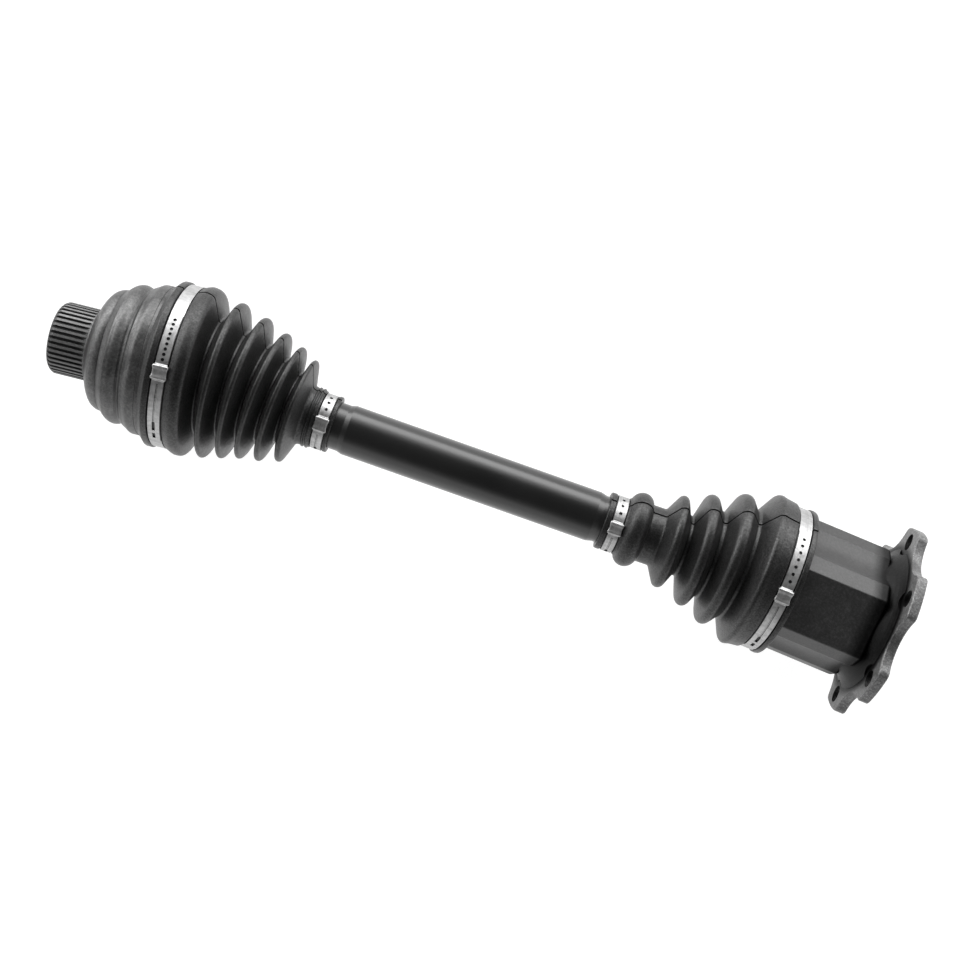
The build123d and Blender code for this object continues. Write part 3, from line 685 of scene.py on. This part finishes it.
def ring_angles(line_angles, radius):
    """Even angles, with close ones at each mould line, and the share of its depth at each.
    The count is the same at every radius."""
    even = np.arange(BASE_ANGLES) * 2 * math.pi / BASE_ANGLES
    clear = 2 * math.pi / BASE_ANGLES * 0.62
    keep = np.ones(len(even), bool)
    extra, cuts = [], []
    for middle in line_angles:
        keep &= np.abs((even - middle + math.pi) % (2 * math.pi) - math.pi) > clear
        for offset, cut in LINE_SECTION:
            extra.append(middle + offset * LINE_HALF / max(radius, 12.0))
            cuts.append(cut)
    angles = np.concatenate([even[keep], np.array(extra)])
    return angles % (2 * math.pi), np.concatenate([np.zeros(int(keep.sum())), np.array(cuts)])


def shell(name, origin, table, outer, inner, line_angles, lobe_from):
    """Closed ring-shaped solid: out along the outer rings and back along the inner ones.
    Returns the object, the points in a ring and the rings' stations."""
    rings = [(*point, True) for point in outer] + [(*point, False) for point in inner[::-1]]
    order = np.argsort(ring_angles(line_angles, 30.0)[0])
    verts, faces, lines = [], [], []
    for station, radius, outside in rings:
        centre, _, side = ring_frame(origin, table, station)
        angles, cuts = ring_angles(line_angles, radius)
        for theta, cut in zip(angles[order], cuts[order]):
            reach = radius
            if outside:
                reach = radius - LINE_DEPTH * cut
            elif lobe_from is not None and station > lobe_from:
                reach = lobed(theta) + LOBE_GAP
            verts.append(centre + (UP * math.cos(theta) + side * math.sin(theta)) * reach * MM)
            lines.append(1.0 if cut > 0 and outside else 0.0)
    size = len(order)
    for i in range(len(rings)):
        faces.extend(strip_faces(i, (i + 1) % len(rings), size))
    mesh = solid(name, verts, faces, origin, sharp_angle=52)
    mesh.attributes.new("mould_line", "FLOAT", "POINT").data.foreach_set("value", lines)
    # the outside's first and last rings are sharp
    for edge in mesh.edges:
        i, j = (vert // size for vert in edge.vertices)
        if i == j and i in (0, len(outer) - 1):
            edge.use_edge_sharp = True
    return link_object(name, mesh), size, [ring[0] for ring in rings]


# ---------------------------------------------------------------- bellows

SEAM_STRIP = 0.08  # width of the strip along the tangent beside a seam, mm
OUTER_CLEAR = 0.3  # other outline points stay this far from a seam
INNER_CLEAR = 0.15


def radius_at(path, station):
    order = np.argsort(path[:, 0], kind="stable")
    return float(np.interp(station, path[order, 0], path[order, 1]))


def cut_piece(outline, inside, start, end):
    """Both paths between two stations, with exact seam rings that neighbours share.
    The narrow strip beside a seam keeps the shading unbroken across it."""
    low = -1e9 if start is None else start
    high = 1e9 if end is None else end
    outer = [tuple(point) for point in outline if low - 1e-6 <= point[0] <= high + 1e-6]
    inner = [tuple(point) for point in inside if low <= point[0] <= high]

    def seam(station):
        radius = radius_at(outline, station)
        slope = radius_at(outline, station + 0.5) - radius_at(outline, station - 0.5)
        return radius, slope * SEAM_STRIP

    if start is not None:
        radius, rise = seam(start)
        clear = [point for point in outer if point[0] > start + OUTER_CLEAR]
        outer = [(start, radius), (start + SEAM_STRIP, radius + rise)] + clear
        clear = [point for point in inner if point[0] > start + INNER_CLEAR]
        inner = [(start, radius_at(inside, start))] + clear
    if end is not None:
        radius, rise = seam(end)
        clear = [point for point in outer if point[0] < end - OUTER_CLEAR]
        outer = clear + [(end - SEAM_STRIP, radius - rise), (end, radius)]
        clear = [point for point in inner if point[0] < end - INNER_CLEAR]
        inner = clear + [(end, radius_at(inside, end))]
    return outer, inner


def bellows(node, material, origin, rows, corners, wall, hollow, line_angle, pieces,
            lobe_from=None):
    """Builds one bellows as pieces that meet ring to ring.
    hollow: stations between which the inside follows the outline at the wall's depth.
    pieces: start and end are seam stations, head and tail the inside's extra points at open
    ends; the pieces' bodies, stations and shares are not used."""
    table = smooth_rows(rows)
    outline = densify(fillet(solve_tips(corners)), 1.3)
    between = (outline[:, 0] > hollow[0]) & (outline[:, 0] < hollow[1])
    inside = offset_path(outline, wall)[between]
    line_angles = [math.radians(line_angle + turn) for turn in (0, 180)]
    for piece in pieces:
        outer, inner = cut_piece(outline, inside, piece.get("start"), piece.get("end"))
        inner = [*piece.get("head", ()), *inner, *piece.get("tail", ())]
        name = f"{node}_{piece['suffix']}"
        obj, size, places = shell(name, origin, table, outer, inner, line_angles, lobe_from)
        obj.data.materials.append(material)
        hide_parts(node)
        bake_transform(obj)


# Corners: station, radius, rounding (mm), and for some +1 crest or -1 valley, where the
# radius is that of the rounded tip.
OUTER_CORNERS = [
    # cuff on the bell, with the clamp's seat
    (10.9, 48.62, 0), (10.9, 49.9, 0.5), (12.6, 51.6, 1.2), (14.4, 53.6, 1.6),
    (17.9, 53.6, 0.7), (18.5, 51.8, 0.2), (27.3, 51.8, 0.2), (27.7, 52.7, 0.4),
    (32.4, 54.75, 5.5), (37.9, 54.0, 4.2),
    # folds
    (43.2, 38.1, 1.3, -1), (51.1, 50.8, 2.1, 1), (58.4, 34.9, 1.3, -1), (65.4, 47.0, 2.0, 1),
    (72.1, 31.75, 1.25, -1), (78.4, 42.7, 1.9, 1), (84.5, 27.9, 1.2, -1),
    (90.5, 38.9, 1.8, 1), (95.9, 23.5, 1.1, -1), (101.6, 34.4, 1.7, 1),
    # neck with two ribs
    (107.4, 19.4, 2.6), (110.7, 19.0, 0.3), (111.1, 19.7, 0.25), (112.0, 19.7, 0.25),
    (112.4, 18.95, 0.2), (113.3, 18.95, 0.2), (113.7, 19.7, 0.25), (114.6, 19.7, 0.25),
    (115.0, 18.9, 0.3),
    # clamp's seat on the shaft
    (116.2, 18.7, 0.3), (116.45, 17.14, 0.15), (124.5, 17.14, 0.15), (124.75, 18.4, 0.45),
    (127.0, 18.4, 0.6), (127.0, 15.28, 0),
]
BULB_STATION, BULB_CENTRE_RADIUS, BULB_RADIUS = -118.1, 17.1, 7.3
BULB = [
    (BULB_STATION + BULB_RADIUS * math.cos(math.radians(angle)),
     BULB_CENTRE_RADIUS + BULB_RADIUS * math.sin(math.radians(angle)), 0)
    for angle in range(160, 15, -12)
]
INNER_CORNERS = [
    # clamp's seat on the shaft
    (-138.4, 15.28, 0), (-138.4, 18.5, 0.7), (-134.9, 18.6, 0.5), (-134.65, 17.14, 0.15),
    (-126.55, 17.14, 0.15), (-126.3, 18.4, 0.3), (-125.5, 18.9, 0.5),
    *BULB, (-110.2, 18.8, 1.6), (-102.0, 18.8, 2.2),
    # folds
    (-93.0, 30.5, 3.2, 1), (-85.1, 19.9, 1.8, -1), (-76.8, 36.8, 3.9, 1),
    (-67.3, 28.6, 2.0, -1), (-59.05, 43.8, 4.3, 1), (-48.9, 36.8, 1.9, -1),
    (-40.3, 50.2, 4.6, 1),
    # cuff on the housing, with the clamp's seat
    (-35.6, 49.7, 3.0), (-29.3, 48.9, 0.8), (-28.8, 46.92, 0.2), (-19.8, 46.92, 0.2),
    (-19.5, 48.5, 0.5), (-17.6, 48.65, 0.6), (-16.2, 48.3, 0.5), (-16.2, 46.4, 0),
]
CUFF_SEAM, NECK_SEAM = 36.6, 54.6
INNER_SEAM = -54.5

bellows(
    "outer_boot", rubber("rubber_outer"), BALL, OUTER_ROWS, OUTER_CORNERS,
    wall=1.7, hollow=(29.3, 109.0), line_angle=62.0,
    pieces=[
        dict(
            suffix="cuff", end=CUFF_SEAM, bodies=("outer_joint", "outer_gaiter"),
            stations=(28.0, CUFF_SEAM), shares=(0, 1),
            head=[(10.9, 48.62), (20.0, 48.62), (27.9, 48.62), (28.2, 50.2)],
        ),
        dict(
            suffix="middle", start=CUFF_SEAM, end=NECK_SEAM, bodies=("outer_gaiter", "cage"),
            stations=(CUFF_SEAM, 43.2, NECK_SEAM), shares=(0, 0.66, 1),
        ),
        dict(
            suffix="neck", start=NECK_SEAM, bodies=("cage", "shaft"),
            stations=(NECK_SEAM, 58.4, 72.1, 84.5, 95.9, 109.5),
            shares=(0, 0.18, 0.52, 0.74, 0.88, 1),
            tail=[(112.0, 16.2), (113.0, 15.28), (120.0, 15.28), (127.0, 15.28)],
        ),
    ],
)
bellows(
    "inner_boot", rubber("rubber_inner"), TRIPOD, INNER_ROWS, INNER_CORNERS,
    wall=1.8, hollow=(-124.4, -35.6), line_angle=48.0, lobe_from=-34.4,
    pieces=[
        dict(
            suffix="neck", end=INNER_SEAM, bodies=("shaft", "roller_carriage"),
            stations=(-125.0, -110.0, -102.0, -85.1, -67.3, INNER_SEAM),
            shares=(0, 0.03, 0.06, 0.13, 0.50, 1),
            head=[(-138.4, 15.28), (-130.0, 15.28), (-125.6, 15.28), (-125.0, 16.6)],
        ),
        dict(
            suffix="cuff", start=INNER_SEAM, bodies=("roller_carriage", "inner_joint"),
            stations=(INNER_SEAM, -31.0), shares=(0, 1),
            tail=[(-34.45, 47.0), (-34.35, 46.4), (-29.0, 46.4), (-22.0, 46.4), (-16.2, 46.4)],
        ),
    ],
)

# ---------------------------------------------------------------- raised saddles of the clamps

SADDLE_BASE = 1.2  # from the band's bore out to the radius the humps rise from, mm
SADDLE_SUNK = 0.75  # depth of the underside below that radius
SADDLE_FOOT = 1.5  # length of the slope at each end
SADDLE_INSET = 0.55  # sets how far the end ridges stand in
SADDLE_LIP = 0.55  # greatest rounding of the long edges


def saddle(name, body, origin, axis, bore, half_width, low, high):
    """Sheet hump on a clamp from angle low to high: a ridge at each end, a dip between."""
    side = np.cross(UP, axis)
    base = bore + SADDLE_BASE
    foot = math.degrees(SADDLE_FOOT / base)
    inset = math.degrees(SADDLE_INSET / base)
    length = high - low
    # angle from +Z (degrees), height above the base, extra half width (mm)
    keys = [
        (low - foot, 0.12, -0.35), (low - foot * 0.62, 0.30, -0.15), (low - inset, 1.25, 0.55),
        (low + inset * 0.4, 1.85, 0.95), (low + inset * 1.9, 1.75, 0.85),
        (low + length * 0.33, 1.28, 0.50), (low + length * 0.5, 1.20, 0.45),
        (low + length * 0.67, 1.28, 0.50),
        (high - inset * 1.9, 1.75, 0.85), (high - inset * 0.4, 1.85, 0.95),
        (high + inset, 1.25, 0.55), (high + foot * 0.62, 0.30, -0.15), (high + foot, 0.12, -0.35),
    ]
    key_angles, heights, flares = (np.array(column) for column in zip(*keys))
    angles = np.linspace(key_angles[0], key_angles[-1], 61)
    rises, widenings = (
        running_mean(np.interp(angles, key_angles, column), 2, {"mode": "edge"})
        for column in (heights, flares)
    )
    bottom = base - SADDLE_SUNK
    verts, faces = [], []
    for angle, rise, widening in zip(angles, rises, widenings):
        theta = math.radians(angle)
        out = UP * math.cos(theta) + side * math.sin(theta)
        half = half_width + widening
        top = base + rise
        lip = min(SADDLE_LIP, (top - bottom) * 0.45)
        section = [
            (-half, bottom), (-half, top - lip), (-half + lip * 0.13, top - lip * 0.5),
            (-half + lip * 0.5, top - lip * 0.13), (-half + lip, top),
        ]
        section += [(x, top) for x in np.linspace(-half + lip, half - lip, 6)[1:-1]]
        section += [(-x, z) for x, z in section[4::-1]]
        verts.extend(origin + (axis * x + out * z) * MM for x, z in section)
    size = len(section)
    for i in range(len(angles) - 1):
        faces.extend(strip_faces(i, i + 1, size))
    faces.append(tuple(range(size)))
    faces.append(tuple(range(len(verts) - 1, len(verts) - 1 - size, -1)))
    obj = link_object(name, solid(name, verts, faces, origin, sharp_angle=46))
    obj.data.materials.append(band_steel("zinc_" + name, origin, axis))
    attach(obj, body)


# clamp, body it rides, station along the axis (mm), half width (mm), first and last angle
SADDLES = [
    ("outer_clamp_large", "outer_joint", 22.9, 4.0, -12.5, -4.0),
    ("inner_clamp_large", "inner_joint", -24.3, 4.0, -15.0, -6.0),
    ("outer_clamp_small", "shaft", 120.5, 3.6, -20.0, 4.0),
    ("inner_clamp_small", "shaft", -130.6, 3.6, -19.0, 2.0),
]
for clamp, body, station, half_width, low, high in SADDLES:
    pivot, axis, bore = CLAMPS[clamp]
    origin = pivot + axis * station * MM
    saddle(clamp + "_saddle", body, origin, axis, bore, half_width, low, high)

# ---------------------------------------------------------------- stage: floor, light, camera

CENTRE = Vector((-0.270, -0.0149, 0.0))
ROLL = math.radians(22.74)  # turn of the camera about Z
CAMERA_HEIGHT = 0.889
FLOOR_HALF = 7.0
FLOOR_GAP = 0.0004

# light levels of the surroundings
KEY_LEVEL = 5.3
LOW_SIDE = 0.17  # share of the key on the side facing it
END_SIDE = 0.10  # share of the key at the ends
TOP_LEVEL = 0.115  # added everywhere


def build_floor():
    """Flat, faintly lit paper just under the axle."""
    mesh = bpy.data.meshes.new("floor")
    z = cad_low.z - FLOOR_GAP
    corners = [
        (CENTRE.x + x * FLOOR_HALF, CENTRE.y + y * FLOOR_HALF, z)
        for x, y in ((-1, -1), (1, -1), (1, 1), (-1, 1))
    ]
    mesh.from_pydata(corners, [], [(0, 1, 2, 3)])
    floor = link_object("floor", mesh)
    paper = Look("floor_paper")
    paper.set({
        "Base Color": 0.35,
        "Roughness": 0.9,
        "Specular IOR Level": 0.1,
        "Emission Color": 1.0,
        "Emission Strength": 0.88,
    })
    mesh.materials.append(paper.material)


def build_world():
    """A soft room: dim overhead, bright low down on one long side, paler all round.
    The camera itself sees plain white."""
    world = bpy.data.worlds.new("studio")
    bpy.context.scene.world = world
    world.use_nodes = True
    sky = Nodes(world.node_tree)
    background = world.node_tree.nodes["Background"]
    toward = sky.node("ShaderNodeTexCoord").outputs["Generated"]
    rise = sky.vector_math("DOT_PRODUCT", toward, (0.0, 0.0, 1.0))
    key_side = (-math.sin(ROLL), math.cos(ROLL), 0)
    across = sky.vector_math("DOT_PRODUCT", toward, key_side)
    # a floor under the square keeps the division below safe straight up and down
    flat_square = sky.math("MAXIMUM", sky.invert(sky.times(rise, rise)), 0.0001)
    facing = sky.math("DIVIDE", across, sky.math("SQRT", flat_square))
    side_level = sky.ramp(
        sky.weighted([(facing, 0.5)], base=0.5),
        [(0.0, LOW_SIDE), (0.45, END_SIDE), (0.62, END_SIDE * 1.5), (0.82, 1.0), (1.0, 1.0)],
    )
    height_level = sky.ramp(
        rise, [(0.0, 0.80), (0.12, 1.0), (0.36, 1.0), (0.58, 0.28), (0.80, 0.0)]
    )
    lit = sky.times(sky.times(side_level, height_level), KEY_LEVEL)
    level = sky.plus(lit, TOP_LEVEL)
    seen = sky.node("ShaderNodeLightPath").outputs["Is Camera Ray"]
    strength = sky.plus(sky.times(level, sky.invert(seen)), seen)
    sky.feed(background.inputs["Color"], 1.0)
    sky.feed(background.inputs["Strength"], strength)


def build_camera():
    """Looks straight down on the axle."""
    lens = bpy.data.cameras.new("camera")
    lens.sensor_width = 36.0
    lens.lens = 52.5
    lens.clip_start = 0.01
    lens.clip_end = 50.0
    camera = link_object("camera", lens)
    camera.location = CENTRE + Vector((0, 0, CAMERA_HEIGHT))
    camera.rotation_euler = (0, 0, ROLL)
    scene = bpy.context.scene
    scene.camera = camera
    scene.view_settings.view_transform = "Standard"
    scene.view_settings.look = "None"


build_floor()
build_world()
build_camera()
